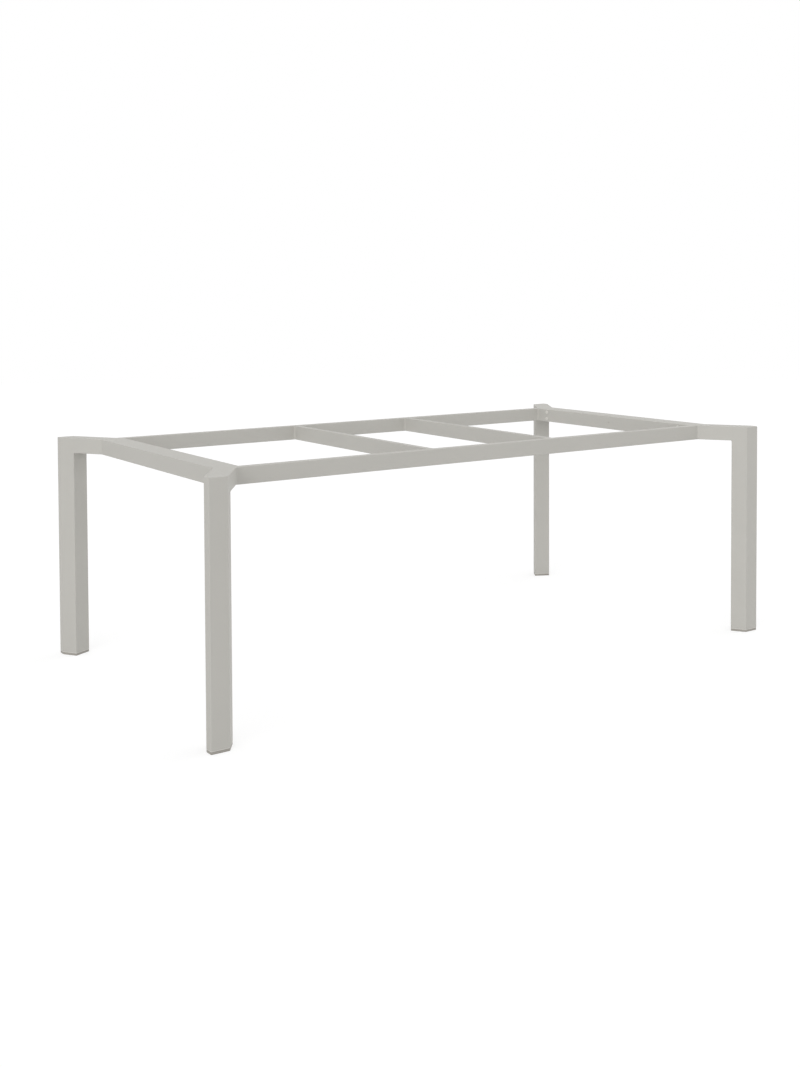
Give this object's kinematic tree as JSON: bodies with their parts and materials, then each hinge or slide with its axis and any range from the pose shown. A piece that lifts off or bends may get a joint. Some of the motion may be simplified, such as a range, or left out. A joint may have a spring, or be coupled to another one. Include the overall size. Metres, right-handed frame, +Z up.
{
  "type": "table frame",
  "caption": "Rectangular table frame of powder-coated tube on five-sided corner legs, which diagonal arms carry out beyond the rails to the corners of the table top.",
  "frame": {"origin": "on the floor, below the middle of the frame", "axes": "+X along the long sides, +Y towards the back long side, +Z up"},
  "size_m": [2.163, 1.184, 0.74],
  "materials": {
    "powder_coat": "fine-textured matt powder coat, warm light grey",
    "bolt_zinc": "button-head socket bolts, coated to match",
    "foot_plastic": "moulded grey-brown plastic"
  },
  "bodies": {
    "root": {"long_rail_front": "powder_coat", "long_rail_back": "powder_coat", "end_rail_left": "powder_coat", "end_rail_right": "powder_coat", "cross_bar_left": "powder_coat", "cross_bar_right": "powder_coat", "arm_back_right": "powder_coat", "arm_back_left": "powder_coat", "arm_front_right": "powder_coat", "arm_front_left": "powder_coat", "arm_plate_back_right": "powder_coat", "arm_plate_back_left": "powder_coat", "arm_plate_front_right": "powder_coat", "arm_plate_front_left": "powder_coat", "leg_back_right": "powder_coat", "leg_back_left": "powder_coat", "leg_front_right": "powder_coat", "leg_front_left": "powder_coat", "leg_cap_back_right": "powder_coat", "leg_cap_back_left": "powder_coat", "leg_cap_front_right": "powder_coat", "leg_cap_front_left": "powder_coat", "foot_back_right": "foot_plastic", "foot_back_left": "foot_plastic", "foot_front_right": "foot_plastic", "foot_front_left": "foot_plastic", "corner_bolts": "bolt_zinc"}
  },
  "joints": []
}
